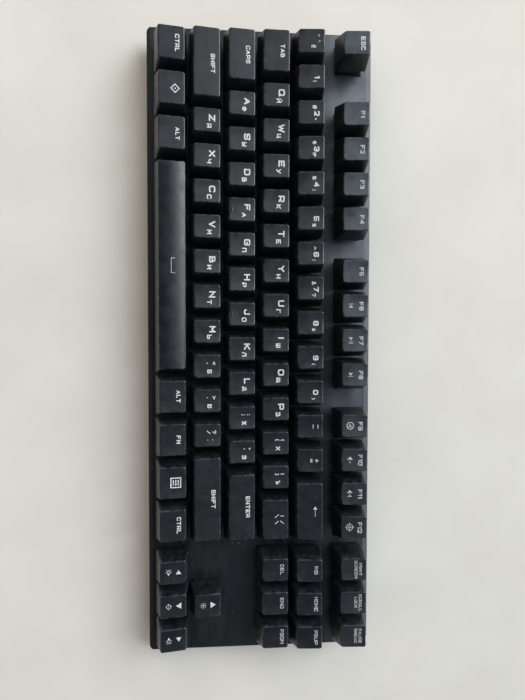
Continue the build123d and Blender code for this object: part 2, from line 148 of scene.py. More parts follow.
def multiplied(tree, first, second):
    return add(tree, "Math", {0: first, 1: second}, operation="MULTIPLY").outputs[0]


def summed(tree, first, second):
    return add(tree, "Math", {0: first, 1: second}, operation="ADD").outputs[0]


def specks(tree, coords, spacing, size, share):
    """A mask of dust specks: spacing and size in millimetres, and the share of cells that hold one."""
    cell = add(tree, "TexVoronoi", {"Vector": coords, "Scale": 1000.0 / spacing})
    near = spread(tree, cell.outputs["Distance"], size / spacing, 0.4 * size / spacing)
    lucky = add(tree, "SeparateColor", {"Color": cell.outputs["Color"]}).outputs[0]
    chosen = add(tree, "Math", {0: lucky, 1: share}, operation="LESS_THAN").outputs[0]
    return multiplied(tree, near, chosen)


def dust_and_sheen_film(tree, coords, grain, start, most):
    """A cloudy film on upper faces from start metres to the rear, thickest on the left: partly fine
    dust, partly painted sheen of the light from above and the left.
    """
    place = add(tree, "SeparateXYZ", {"Vector": coords}).outputs
    most = spread(tree, place["X"], 0.10, -0.08, 0.25 * most, most)
    normal = add(tree, "TexCoord", {}).outputs["Normal"]
    facing_up = spread(tree, add(tree, "SeparateXYZ", {"Vector": normal}).outputs["Z"], 0.6, 0.95)
    dust_and_sheen_cloud = multiplied(tree, spread(tree, noise(tree, coords, grain, 7.0), 0.34, 0.74, 0.25, 1.0), most)
    behind = spread(tree, place["Y"], start, start + 0.008)
    return multiplied(tree, multiplied(tree, dust_and_sheen_cloud, facing_up), behind)


def bumped(tree, shader, height, millimetres, base=None):
    inputs = {"Height": height, "Distance": millimetres / 1000, "Strength": 1.0}
    if base is not None:
        inputs["Normal"] = base
    made = add(tree, "Bump", inputs).outputs["Normal"]
    tree.links.new(made, shader.inputs["Normal"])
    return made


def started(name):
    made = bpy.data.materials.new(name)
    made.use_nodes = True
    tree = made.node_tree
    coords = add(tree, "TexCoord", {}).outputs["Object"]
    return made, tree, tree.nodes["Principled BSDF"], coords


# ---------------------------------------------------------------- materials
# pale blue-grey of a film that is partly dust and partly painted sheen
DUST_AND_SHEEN_COLOUR = "8f9cab"


def moulded(name, dark, light, rough, grain, depth, dust=0.0, edge=None, dust_colour="9a9ea2"):
    """Moulded plastic: cloudy colour, a fine spark-eroded grain, uneven sheen and settled dust. Given
    an edge colour, the rims are lighter, partly wear and partly painted highlight, and the rear tops
    get a pale film, partly dust and partly painted sheen.
    """
    made, tree, shader, coords = started(name)
    clouds = noise(tree, coords, 28.0, 4.0)
    fine = noise(tree, coords, 1.6, 3.0)
    blend = spread(tree, summed(tree, clouds, multiplied(tree, fine, 0.35)), 0.50, 0.86)
    colour = mixed(tree, blend, rgb(dark), rgb(light))
    # the rounded rims take the lighter edge colour: partly edge wear, partly painted highlight
    if edge:
        rim = add(tree, "Attribute", {}, attribute_name="edge").outputs["Fac"]
        wear_and_highlight = multiplied(tree, rim, spread(tree, noise(tree, coords, 3.0, 5.0), 0.36, 0.62))
        colour = mixed(tree, wear_and_highlight, colour, rgb(edge))
    if dust:
        fluff = specks(tree, coords, 5.5, 0.22, dust)
        film = multiplied(tree, spread(tree, noise(tree, coords, 9.0, 8.0), 0.52, 0.80), 0.05 * dust)
        colour = mixed(tree, film, colour, rgb(dust_colour))
        if edge:
            # the pale film mixed in here is partly dust and partly painted sheen on the rear rows' tops
            colour = mixed(tree, dust_and_sheen_film(tree, coords, 12.0, 0.036, 0.17), colour, rgb(DUST_AND_SHEEN_COLOUR))
        colour = mixed(tree, multiplied(tree, fluff, 0.7), colour, rgb(dust_colour))
    tree.links.new(colour, shader.inputs["Base Color"])
    sheen = spread(tree, noise(tree, coords, 6.0, 6.0), 0.35, 0.65, rough - 0.07, rough + 0.07)
    if edge:
        sheen = summed(tree, sheen, multiplied(tree, rim, -0.16))
    tree.links.new(sheen, shader.inputs["Roughness"])
    shader.inputs["Specular IOR Level"].default_value = 0.65
    skin = bumped(tree, shader, noise(tree, coords, grain, 2.0), depth)
    bumped(tree, shader, noise(tree, coords, 3.5, 2.0), depth * 0.8, skin)
    return made


def coated(name, dark, light, rough):
    """Powder-coated steel: a fine orange-peel skin, wiped dust, small rubbed spots, and a pale film at
    the rear that is partly dust and partly painted sheen.
    """
    made, tree, shader, coords = started(name)
    clouds = noise(tree, coords, 45.0, 6.0)
    streaks = noise(tree, coords, 7.0, 5.0, (0.25, 1.0, 1.0))
    blend = spread(tree, summed(tree, clouds, multiplied(tree, streaks, 0.5)), 0.62, 0.98)
    colour = mixed(tree, blend, rgb(dark), rgb(light))
    rubbed = spread(tree, noise(tree, coords, 2.2, 8.0), 0.66, 0.74, 0.0, 0.5)
    colour = mixed(tree, rubbed, colour, rgb("54585c"))
    # the pale film mixed in here is partly dust and partly painted sheen on the plate's rear
    colour = mixed(tree, dust_and_sheen_film(tree, coords, 16.0, 0.034, 0.36), colour, rgb(DUST_AND_SHEEN_COLOUR))
    dust = summed(tree, specks(tree, coords, 3.4, 0.25, 0.45), specks(tree, coords, 1.3, 0.12, 0.30))
    colour = mixed(tree, multiplied(tree, dust, 0.6), colour, rgb("8f9498"))
    tree.links.new(colour, shader.inputs["Base Color"])
    sheen = spread(tree, streaks, 0.35, 0.65, rough - 0.08, rough + 0.10)
    tree.links.new(sheen, shader.inputs["Roughness"])
    shader.inputs["Specular IOR Level"].default_value = 0.85
    skin = bumped(tree, shader, noise(tree, coords, 0.9, 3.0), 0.035)
    bumped(tree, shader, noise(tree, coords, 0.25, 2.0), 0.01, skin)
    return made


def metal(name, dark, light, rough, stretch=(1, 1, 1)):
    """Bare metal with drawing marks, light tarnish and scratches."""
    made, tree, shader, coords = started(name)
    tarnish = noise(tree, coords, 5.0, 6.0)
    marks = noise(tree, coords, 0.5, 4.0, stretch)
    colour = mixed(tree, spread(tree, tarnish, 0.35, 0.7), rgb(light), rgb(dark))
    tree.links.new(colour, shader.inputs["Base Color"])
    shader.inputs["Metallic"].default_value = 1.0
    sheen = spread(tree, marks, 0.3, 0.7, rough - 0.08, rough + 0.12)
    tree.links.new(sheen, shader.inputs["Roughness"])
    bumped(tree, shader, marks, 0.008)
    return made


def lacquered(name, dark, light, copper):
    """A circuit board: solder lacquer over slightly raised tracks, with a glass weave below."""
    made, tree, shader, coords = started(name)
    bricks = {"Vector": coords, "Scale": 60.0, "Mortar Size": 0.018}
    tracks = add(tree, "TexBrick", bricks).outputs["Fac"]
    weave = noise(tree, coords, 0.7, 2.0, (1.0, 0.3, 1.0))
    colour = mixed(tree, spread(tree, weave, 0.3, 0.7), rgb(dark), rgb(light))
    colour = mixed(tree, multiplied(tree, tracks, 0.5), colour, rgb(copper))
    tree.links.new(colour, shader.inputs["Base Color"])
    shader.inputs["Roughness"].default_value = 0.32
    skin = bumped(tree, shader, tracks, 0.03)
    bumped(tree, shader, weave, 0.008, skin)
    return made


def printed(name, dark, light):
    """Light legend plastic: slightly uneven, with greyed spots where it has been touched."""
    made, tree, shader, coords = started(name)
    blend = spread(tree, noise(tree, coords, 1.1, 5.0), 0.35, 0.60)
    tree.links.new(mixed(tree, blend, rgb(dark), rgb(light)), shader.inputs["Base Color"])
    sheen = spread(tree, noise(tree, coords, 0.8), 0.3, 0.7, 0.38, 0.55)
    tree.links.new(sheen, shader.inputs["Roughness"])
    bumped(tree, shader, noise(tree, coords, 0.2, 2.0), 0.008)
    return made


def clear_lamp(name):
    """A diffused lamp: milky epoxy, its white uneven in soft random clouds."""
    made, tree, shader, coords = started(name)
    blend = noise(tree, coords, 1.2, 2.0)
    tree.links.new(mixed(tree, blend, rgb("cfd2cf"), rgb("f2f3ee")), shader.inputs["Base Color"])
    shader.inputs["Roughness"].default_value = 0.22
    shader.inputs["Transmission Weight"].default_value = 0.35
    bumped(tree, shader, noise(tree, coords, 0.4, 2.0), 0.004)
    return made


# the lighter edge colour on the keycap rims is partly wear and partly painted highlight
CAP_PAINT = moulded("keycap_satin", "060a0f", "0d1218", 0.42, 0.16, 0.014, dust=0.45, edge="33373c")
LEGEND_PAINT = printed("legend_white", "b2b6b6", "d6d9d8")
DIM_LEGEND_PAINT = printed("legend_grey", "8a8f91", "bec2c3")

NODE_PAINT = {
    "top_plate": coated("plate_coat", "04070a", "0c1015", 0.42),
    "bottom_case": moulded("case_black", "0d0e10", "161719", 0.55, 0.35, 0.03, dust=0.35),
    "left_foot": moulded("foot_black", "0f1012", "17181a", 0.52, 0.30, 0.03, dust=0.2),
    "circuit_board": lacquered("board_lacquer", "0c1a14", "14281d", "3a4a2c"),
    "switch_bases": moulded("switch_base_black", "0c0d0f", "131416", 0.42, 0.22, 0.012),
    "switch_covers": moulded("switch_cover_black", "0e0f11", "151719", 0.36, 0.22, 0.010, dust=0.25),
    "switch_springs": metal("spring_wire", "8c8d8c", "c9cac6", 0.28),
    "switch_contacts": metal("contact_copper", "9a6b3c", "d7a566", 0.30, (1.0, 1.0, 0.2)),
    "key_leds": clear_lamp("lamp_epoxy"),
    "stabiliser_housings": moulded("stabiliser_black", "0d0e10", "141618", 0.40, 0.22, 0.012, dust=0.2),
    "stabiliser_wires": metal("stabiliser_steel", "8b8a85", "c4c3bd", 0.25, (0.1, 1.0, 1.0)),
    "usb_socket": metal("socket_nickel", "8f9192", "cfd0cf", 0.26, (1.0, 0.15, 1.0)),
    "case_screws": metal("screw_black", "1c1d1f", "3a3b3d", 0.38),
    "rubber_pads": moulded("rubber_black", "18191a", "242526", 0.82, 0.5, 0.03, dust=0.9),
}
NODE_PAINT["right_foot"] = NODE_PAINT["left_foot"]

for node, paint in NODE_PAINT.items():
    shown = frame["nodes"][node]
    for material_slot in shown.material_slots:
        material_slot.material = paint

# ---------------------------------------------------------------- keycap surfaces


def top_frame(row):
    """The keycap's top plane over the key's middle, in millimetres."""
    height, tilt, set_back = ROW_PROFILE[row]
    return Matrix.Translation((0, set_back, height)) @ Matrix.Rotation(math.radians(tilt), 4, "X")


def hollow_at(width, units):
    """How far the keycap's top lies under its plane at (u, v): a trough, or the space bar's crown."""
    half = (width - CAP_TOP_NARROWER) / 2
    if units == BAR_UNITS:
        return lambda u, v: BAR_CROWN * (v / (CAP_TOP_DEPTH / 2)) ** 2
    return lambda u, v: DISH_DEPTH * max(0.0, 1 - (u / half) ** 2)


def outline(half_x, half_y, corner, along_x, along_y):
    """A rounded rectangle's points and outward normals, with the same count for any size."""
    points = []
    corner_steps = 6
    sides = [
        ((half_x, -half_y + corner), (half_x, half_y - corner), along_y, 0),
        ((half_x - corner, half_y), (-half_x + corner, half_y), along_x, 90),
        ((-half_x, half_y - corner), (-half_x, -half_y + corner), along_y, 180),
        ((-half_x + corner, -half_y), (half_x - corner, -half_y), along_x, 270),
    ]
    for (x0, y0), (x1, y1), count, facing in sides:
        turn = math.radians(facing)
        normal = Vector((math.cos(turn), math.sin(turn)))
        for i in range(count):
            t = i / count
            points.append((Vector((x0 + (x1 - x0) * t, y0 + (y1 - y0) * t)), normal))
        centre = Vector((x1, y1)) - corner * normal
        for i in range(corner_steps):
            angle = turn + math.radians(90) * i / corner_steps
            out = Vector((math.cos(angle), math.sin(angle)))
            points.append((centre + corner * out, out))
    return points


def ring_of(mesh, points):
    return [mesh.verts.new(point) for point in points]


def joined_rings(mesh, lower, upper):
    for i in range(len(lower)):
        j = (i + 1) % len(lower)
        mesh.faces.new((lower[i], lower[j], upper[j], upper[i]))


def closed_ring(mesh, ring, middle):
    """Closes a ring with a fan about a middle point."""
    tip = mesh.verts.new(middle)
    for i in range(len(ring)):
        mesh.faces.new((ring[i], ring[(i + 1) % len(ring)], tip))


def solid_tower(mesh, section, levels):
    """A closed solid of one outline, scaled by its levels of (z, scale)."""
    rings = [ring_of(mesh, [Vector((x * s, y * s, z)) for x, y in section]) for z, s in levels]
    for lower, upper in zip(rings, rings[1:]):
        joined_rings(mesh, lower, upper)
    closed_ring(mesh, rings[0], Vector((0, 0, levels[0][0])))
    closed_ring(mesh, rings[-1], Vector((0, 0, levels[-1][0])))


def moved(mesh, start, offset):
    """Shifts the vertices made since start."""
    mesh.verts.ensure_lookup_table()
    for vert in mesh.verts[start:]:
        vert.co += Vector(offset)


def ellipse(radius_x, radius_y, count=20):
    turns = [2 * math.pi * i / count for i in range(count)]
    return [(radius_x * math.cos(turn), radius_y * math.sin(turn)) for turn in turns]


def rectangle(size_x, size_y, chamfer=0.3):
    x, y, c = size_x / 2, size_y / 2, chamfer
    return [
        (x, -y + c), (x, y - c), (x - c, y), (-x + c, y),
        (-x, y - c), (-x, -y + c), (-x + c, -y), (x - c, -y),
    ]


def cap_rings(place, hollow, tall, foot, top):
    """A keycap's outside from the skirt's inner rim to near its top's middle, as (ring, share of the
    lighter rim colour: edge wear and painted highlight).
    """
    low = [Vector((p.x, p.y, SKIRT_HEIGHT)) for p, _ in foot]
    inverse = place.inverted()
    brim, landing = [], []
    for (p, normal), below in zip(top, low):
        above = place @ Vector((p.x, p.y, 0))
        edge = above.lerp(below, hollow(p.x, p.y) / tall)
        flat = inverse @ edge
        u, v = flat.x - CAP_EDGE * normal.x, flat.y - CAP_EDGE * normal.y
        brim.append(edge)
        landing.append(Vector((u, v, -hollow(u, v))))
    shoulder = [edge.lerp(below, CAP_EDGE / tall) for edge, below in zip(brim, low)]

    def rim(inset):
        return [Vector((p.x - n.x * inset, p.y - n.y * inset, SKIRT_HEIGHT)) for p, n in foot]

    def wall(share):
        return [below.lerp(edge, share) for below, edge in zip(low, shoulder)]

    rings = [
        (rim(CAP_WALL), 0.0), (rim(CAP_LIP), 0.6),
        (wall(CAP_LIP / tall), 0.3), (wall(0.5), 0.0), (shoulder, 0.5),
    ]
    for t in (0.2, 0.4, 0.6, 0.8, 1.0):
        ring = []
        for start, corner, end in zip(shoulder, brim, landing):
            ring.append(start.lerp(corner, t).lerp(corner.lerp(place @ end, t), t))
        rings.append((ring, 1.0 if t < 0.9 else 0.25))
    for scale in (0.94, 0.84, 0.7, 0.54, 0.36, 0.18):
        ring = []
        for end in landing:
            u, v = end.x * scale, end.y * scale
            ring.append(place @ Vector((u, v, -hollow(u, v))))
        rings.append((ring, 0.0))
    return rings


def add_stems(mesh, units):
    """The boss and slider under a keycap's middle, and a wide key's two stabiliser stems."""
    side = STABILISER_REACH.get(units)
    for reach in (0.0, -side, side) if side else (0.0,):
        mesh.verts.ensure_lookup_table()
        start = len(mesh.verts)
        boss_levels = [(HOUSING_TOP + 0.1, 0.97), (HOUSING_TOP + 0.3, 1.0), (BOSS_TOP, 1.0)]
        solid_tower(mesh, ellipse(BOSS_RADIUS, BOSS_RADIUS), boss_levels)
        stem = SLIDER_SIZE if reach == 0 else SIDE_STEM_SIZE
        stem_levels = [(STEM_BOTTOM, 0.97), (STEM_BOTTOM + 0.2, 1.0), (HOUSING_TOP, 1.0)]
        solid_tower(mesh, rectangle(*stem), stem_levels)
        moved(mesh, start, (reach, 0, 0))


def keycap_mesh(row, units):
    """A keycap over the origin: a shell with a rounded top edge, its bosses and their stems."""
    width, depth = units * UNIT - KEY_GAP, UNIT - KEY_GAP
    top_x, top_y = (width - CAP_TOP_NARROWER) / 2, CAP_TOP_DEPTH / 2
    steps = (max(SIDE_STEPS, round(SIDE_STEPS * units)), SIDE_STEPS)
    foot = outline(width / 2, depth / 2, CAP_CORNER, *steps)
    top = outline(top_x, top_y, CAP_TOP_CORNER, *steps)
    ceiling = outline(top_x - CAP_WALL, top_y - CAP_WALL, CAP_INNER_CORNER, *steps)
    tall = ROW_PROFILE[row][0] - SKIRT_HEIGHT
    place = top_frame(row)
    hollow = hollow_at(width, units)

    mesh = bmesh.new()
    edge_of = mesh.verts.layers.float.new("edge")
    made = []
    # each ring's share of the lighter rim colour, which is edge wear and painted highlight
    for points, rim_wear_and_highlight in cap_rings(place, hollow, tall, foot, top):
        ring = ring_of(mesh, points)
        for vert in ring:
            vert[edge_of] = rim_wear_and_highlight
        made.append(ring)
    for lower, upper in zip(made, made[1:]):
        joined_rings(mesh, lower, upper)
    closed_ring(mesh, made[-1], place @ Vector((0, 0, -hollow(0, 0))))

    roof_depth = CAP_ROOF + (BAR_CROWN if units == BAR_UNITS else DISH_DEPTH)
    inside = ring_of(mesh, [place @ Vector((p.x, p.y, -roof_depth)) for p, _ in ceiling])
    joined_rings(mesh, inside, made[0])
    closed_ring(mesh, inside, place @ Vector((0, 0, -roof_depth)))
    add_stems(mesh, units)
    return mesh


def homing_bar(mesh, row):
    """The raised bar near the front edge of the two home keys."""
    place = top_frame(row)
    section = ellipse(2.0, 0.34, 24)
    start_v = -CAP_TOP_DEPTH / 2 + 1.4
    rings = []
    for z, s in ((-0.25, 1.0), (0.12, 1.0), (0.26, 0.86), (0.32, 0.55)):
        points = [Vector((x * s, start_v + y * s, z - DISH_DEPTH)) for x, y in section]
        rings.append(ring_of(mesh, [place @ point for point in points]))
    for lower, upper in zip(rings, rings[1:]):
        joined_rings(mesh, lower, upper)
    closed_ring(mesh, rings[0], place @ Vector((0, start_v, -0.25 - DISH_DEPTH)))
    closed_ring(mesh, rings[-1], place @ Vector((0, start_v, 0.34 - DISH_DEPTH)))


def finished_piece(mesh, name, paint, place, body):
    """Turns a mesh drawn in millimetres over its key into a piece that rides on that body."""
    bmesh.ops.recalc_face_normals(mesh, faces=mesh.faces)
    bmesh.ops.transform(mesh, matrix=DECK @ place, verts=mesh.verts)
    data = bpy.data.meshes.new(name)
    mesh.to_mesh(data)
    mesh.free()
    data.materials.append(paint)
    data.shade_smooth()
    data.set_sharp_from_angle(angle=math.radians(38))
    piece = bpy.data.objects.new(name, data)
    bpy.context.scene.collection.objects.link(piece)
    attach(piece, body)
    return piece


# ---------------------------------------------------------------- legends
# A glyph is drawn with lines on a grid six squares high. Each point is two digits, across
# and up. "!" keeps a corner sharp, "*" fills the outline, and "o" is a circle by its middle
# and radius. Names stand for icons, which reach as far as nine squares across.
GLYPHS = {
    "A": "00-36-60 12-52", "B": "03-53-56-06!-00!-60-63-43", "C": "65-66-06-00-60-61",
    "D": "00!-06!-66-60-00!", "E": "60-00!-06!-66 03-53", "F": "00-06!-66 03-53",
    "G": "65-66-06-00-60-63!-33", "H": "00-06 60-66 03-63", "I": "30-36", "J": "56-50-00-02",
    "K": "00-06 66-13-60", "L": "06-00!-50", "M": "00-06!-32-66!-60", "N": "00-06!-60!-66",
    "O": "00-06-66-60-00", "P": "00-06!-66-62-02", "Q": "00-06-66-60-00 51-70",
    "R": "00-06!-66-62-02 32-60", "S": "65-66-06-03-63-60-00-01", "T": "30-36 06-66",
    "U": "06-00-60-66", "V": "06-30!-66", "W": "06-20!-44!-60!-86", "X": "00-66 06-60",
    "Y": "06-33-66 33-30", "Z": "06-66!-00!-60", "Ф": "05-65-61-01-05 30-36",
    "Ы": "06-00!-40-43-03 60-66", "П": "00-06!-66!-60", "Л": "00-26!-66!-60",
    "Д": "00-01!-61!-60 11-26!-56!-51", "Ж": "30-36 00-33-06 60-33-66", "Э": "05-06-66-60-00-01 23-63",
    "И": "06-00!-66!-60", "Й": "06-00!-66!-60 28-48", "Ц": "06-01!-51!-56 51-61!-60",
    "У": "06-32 66-20-00", "Г": "00-06!-56", "Ш": "06-00!-60!-66 30-36",
    "Щ": "06-01!-61!-66 31-36 61-71!-70", "З": "05-06-56-53-23 53-63-60-00-01",
    "Ъ": "06-26!-20!-60-63-23", "Я": "60-66!-06-02-62 32-00", "Ч": "06-03-63 66-60",
    "Ь": "06-00!-60-63-03", "Б": "66-06!-00!-60-63-03", "Ю": "00-06 03-23 26-66-60-20-26",
    "Ё": "60-00!-06!-66 03-53 18-28 48-58",
    "1": "15-36!-30", "2": "05-06-66-63-00!-60", "3": "05-06-66-60-00-01 23-63", "4": "50-56!-02!-62",
    "5": "66-06!-03!-63-60-00-01", "6": "65-66-06-00-60-63-03", "7": "06-66!-20",
    "8": "00-06-66-60-00 03-63", "9": "01-00-60-66-06-03-63",
    "!": "36-32 31-30", '"': "26-24 46-44", "@": "50-00-06-66-62-42-44-24-22-42",
    "#": "20-26 40-46 02-62 04-64", "№": "00-06!-40!-46 63-85-63 o741", "$": "65-06-03-63-60-01 30-36",
    "%": "00-66 o151 o511", "^": "04-36!-64", "&": "60-15-26-46-44-12-00-40-62",
    "?": "05-06-66-63-33!-32 31-30",
    "*": "30-36 01-65 05-61", "(": "46-24-22-40", ")": "26-44-42-20", "_": "00-60", "-": "03-63",
    "+": "03-63 30-36", "=": "02-62 04-64", "{": "46-36-34-23!-32-30-40", "}": "26-36-34-43!-32-30-20",
    "[": "46-26!-20!-40", "]": "26-46!-40!-20", "\\": "06-60", "|": "30-36", "/": "00-66",
    "<": "65-03!-61", ">": "05-63!-01", ",": "31-20", ".": "30-31", "'": "36-34", ";": "34-35 31-20",
    ":": "34-35 31-30", "~": "02-14-24-42-52-64", "`": "26-44",
    "previous": "*60-66-23 10-16", "play": "*00-06-43 60-66 80-86", "next": "*00-06-43 50-56",
    "mute": "o333 *12-34-32 45-41", "quieter": "*03-46-40 63-83", "louder": "*03-46-40 63-93 81-85",
    "target": "o443 o441 48-46 40-42 04-24 84-64",
    "sun": "o441 48-46 40-42 04-24 84-64 66-77 22-11 26-17 62-71",
    "dim_sun": "o443 34-54 48-47 40-41 04-14 84-74",
    "glow_left": "46-26-22-42 *56-52-94 48-47 40-41 04-14 16-07 12-01",
    "glow_right": "56-76-72-52 *46-42-04 58-57 50-51 94-84 86-97 82-91",
    "menu": "00!-08!-88!-80!-00! 22-62 24-64 26-66", "diamond": "04!-48!-84!-40!-04! *34-45-54-43",
    "space": "02-00!-90!-92", "back": "*03-36-30 33-93",
    "up": "*00-60-35", "down": "*05-65-30", "left": "*03-56-50", "right": "*06-53-00",
}
GLYPHS["0"] = GLYPHS["O"]
for cyrillic, latin in zip("КЕНХВАРОСМТ", "KEHXBAPOCMT"):
    GLYPHS[cyrillic] = GLYPHS[latin]
STROKE_SHARE = 0.215                # a stroke's width as a share of the legend's height
LETTER_SPACING = 0.17               # the gap after a letter, as a share of the height too
SMALL_LEGEND = 2.3                  # under this height a legend's strokes are thinner
ROUNDING = 1.5                      # how far from a corner its rounding starts, in squares
LEGEND_PROUD = 0.02
LEGEND_DEPTH = 0.07


def rounded_path(tokens):
    """A glyph line's points, with its corners rounded, and whether it closes."""
    corners = [(Vector((int(t[0]), int(t[1]))), t.endswith("!")) for t in tokens]
    closed = len(corners) > 2 and corners[0][0] == corners[-1][0]
    if closed:
        corners.pop()
    path = []
    last = len(corners) - 1
    for i, (point, sharp) in enumerate(corners):
        if sharp or (not closed and i in (0, last)):
            path.append(point)
            continue
        before = corners[i - 1][0] - point
        after = corners[(i + 1) % len(corners)][0] - point
        start = point + before.normalized() * min(ROUNDING, before.length / 2)
        end = point + after.normalized() * min(ROUNDING, after.length / 2)
        for t in (0.0, 0.25, 0.5, 0.75, 1.0):
            bent = start.lerp(point, t).lerp(point.lerp(end, t), t)
            if not path or (bent - path[-1]).length > 1e-4:
                path.append(bent)
    if closed and (path[0] - path[-1]).length < 1e-4:
        path.pop()
    return path, closed


def divided(path, closed, longest=1.0):
    """The path with extra points, so that it can follow a curved surface."""
    ends = path[1:] + path[:1] if closed else path[1:]
    points = []
    for start, end in zip(path, ends):
        count = max(1, math.ceil((end - start).length / longest))
        points += [start.lerp(end, i / count) for i in range(count)]
    return points if closed else points + [path[-1]]


def stroke_sides(path, closed, half):
    """The two sides of a stroke of even width along a path, with mitred corners and eased ends."""
    if not closed:
        first, last = (path[1] - path[0]).normalized(), (path[-1] - path[-2]).normalized()
        path = [path[0] - first * half * 0.9, path[0] - first * half * 0.45, *path]
        path += [path[-1] + last * half * 0.45, path[-1] + last * half * 0.9]
    left, right = [], []
    count = len(path)
    for i, point in enumerate(path):
        back = point - path[i - 1] if closed or i else path[1] - path[0]
        ahead = path[(i + 1) % count] - point if closed or i < count - 1 else back
        back, ahead = back.normalized(), ahead.normalized()
        across = Vector((-back.y - ahead.y, back.x + ahead.x)).normalized()
        reach = half / max(0.45, across.dot(Vector((-back.y, back.x))))
        if not closed and i in (0, count - 1):
            reach = half * 0.62
        left.append(point + across * reach)
        right.append(point - across * reach)
    return left, right


def legend_strip(mesh, sides, closed, lifted):
    """A thin closed solid between two sides, laid into the keycap's top."""
    left, right = sides
    rows = []
    for points, sunk in ((left, 0.0), (right, 0.0), (right, LEGEND_DEPTH), (left, LEGEND_DEPTH)):
        rows.append([mesh.verts.new(lifted(point, sunk)) for point in points])
    count = len(left)
    for i in range(count if closed else count - 1):
        j = (i + 1) % count
        for a, b in ((0, 1), (1, 2), (2, 3), (3, 0)):
            mesh.faces.new((rows[a][i], rows[b][i], rows[b][j], rows[a][j]))
    if not closed:
        for i in (0, count - 1):
            mesh.faces.new([row[i] for row in rows])


def legend_patch(mesh, points, lifted):
    """A filled outline as a thin closed solid."""
    points = divided(points, True, 0.6)
    upper = [mesh.verts.new(lifted(point, 0.0)) for point in points]
    lower = [mesh.verts.new(lifted(point, LEGEND_DEPTH)) for point in points]
    joined_rings(mesh, lower, upper)
    middle = sum(points, Vector((0, 0))) / len(points)
    closed_ring(mesh, upper, lifted(middle, 0.0))
    closed_ring(mesh, lower, lifted(middle, LEGEND_DEPTH))


def glyph_parts(glyph):
    """A glyph's lines and filled outlines in grid squares: (kind, points, closed)."""
    for line in GLYPHS[glyph].split():
        if line[0] == "o":
            middle, radius = Vector((int(line[1]), int(line[2]))), int(line[3])
            yield "line", [middle + Vector(p) for p in ellipse(radius, radius, 18)], True
        elif line[0] == "*":
            tokens = line[1:].split("-")
            yield "patch", [Vector((int(t[0]), int(t[1]))) for t in tokens], True
        else:
            yield "line", *rounded_path(line.split("-"))


def mark(mesh, glyphs, height, u, v, wide, surface):
    """Lays a row of glyphs, or one icon, on a keycap's top with its middle at (u, v)."""
    drawn = {glyph: list(glyph_parts(glyph)) for glyph in glyphs}
    stroke, squares = STROKE_SHARE * height, 6
    if height < SMALL_LEGEND:
        stroke *= 0.85
    if len(glyphs[0]) > 1:
        busy = len(drawn[glyphs[0]]) > 4
        stroke = (0.065 if busy else 0.10) * height
        levels = [point.y for _, points, _ in drawn[glyphs[0]] for point in points]
        squares = max(levels) - min(levels)
    up = (height - stroke) / squares
    across = up * wide
    spacing = LETTER_SPACING * height
    pen = 0.0
    placed = []
    for glyph in glyphs:
        parts = drawn[glyph]
        xs = [point.x for _, points, _ in parts for point in points]
        shift = pen - min(xs) * across + stroke / 2
        placed.append((parts, shift))
        pen += (max(xs) - min(xs)) * across + stroke + spacing
    left = u - (pen - spacing) / 2
    low = v - height / 2 + stroke / 2
    for parts, shift in placed:
        for kind, points, closed in parts:
            level = LEGEND_PROUD + random.uniform(0, 0.004)
            laid = [Vector((left + shift + p.x * across, low + p.y * up)) for p in points]

            def lifted(point, sunk):
                return surface(point.x, point.y, level - sunk)

            if kind == "patch":
                legend_patch(mesh, laid, lifted)
            else:
                path = divided(laid, closed)
                legend_strip(mesh, stroke_sides(path, closed, stroke / 2), closed, lifted)


# A legend is a list of marks: (glyphs, height, u and v of the middle, share of full width).
def word(text, height=2.35, u=0.0, v=3.2, wide=0.84):
    return [(list(text), height, u, v, wide)]


def icon(name, height, u, v, wide=1.0):
    return [([name], height, u, v, wide)]


def letter(pair):
    return [([pair[0]], 3.45, -1.2, 2.7, 1.0), ([pair[1]], 2.55, 3.0, 1.1, 0.92)]


def digit(left, middle, right, right_u=3.7):
    """A number key's digit with the signs on each side of it."""
    marks = word(middle, 2.9, 0.6 if left else 0.2, 2.75, 0.9)
    if left:
        marks += word(left, 2.2, -2.8, 1.5, 0.82)
    return marks + word(right, 2.1, right_u, 1.5, 0.8)


def two_signs(upper, lower, right=""):
    marks = word(upper, 2.1, -1.6, 3.6, 0.9) + word(lower, 2.1, -1.6, 0.6, 0.9)
    if right:
        marks += word(right, 2.4, 3.0, 1.1, 0.84)
    return marks


def two_lines(upper, lower):
    return word(upper, 1.7, 0, 3.7, 0.8) + word(lower, 1.7, 0, 1.2, 0.8)


def named(text, height=2.05):
    return word(text, height, 0, 3.6, 0.84)


# ---------------------------------------------------------------- the key layout
# Each row from left to right: (node, width in units, legend), or a number of units left open.
FUNCTION_ICONS = {                  # by key number: glyph, height and share of its full width
    6: ("previous", 2.7, 1.0), 7: ("play", 2.7, 1.0), 8: ("next", 2.7, 1.0), 9: ("mute", 4.2, 1.0),
    10: ("quieter", 3.7, 0.8), 11: ("louder", 3.7, 0.8), 12: ("target", 5.0, 1.0),
}


def function_key(number):
    marks = word(f"F{number}", 2.45, 0.2, 3.1)
    if number in FUNCTION_ICONS:
        name, height, wide = FUNCTION_ICONS[number]
        marks += icon(name, height, 0.0, -2.6, wide)
    return ("function_keys", 1, marks)


def letters(pairs):
    return [(f"key_{pair[0].lower()}", 1, letter(pair)) for pair in pairs.split()]


def symbols(*legends):
    return [("number_and_symbol_keys", 1, marks) for marks in legends]


def navigation(*legends):
    return [("navigation_keys", 1, marks) for marks in legends]


def arrow_key(direction, sign):
    return ("arrow_keys", 1, icon(direction, 3.2, 0, 2.9) + icon(sign, 3.4, 0, -2.5))


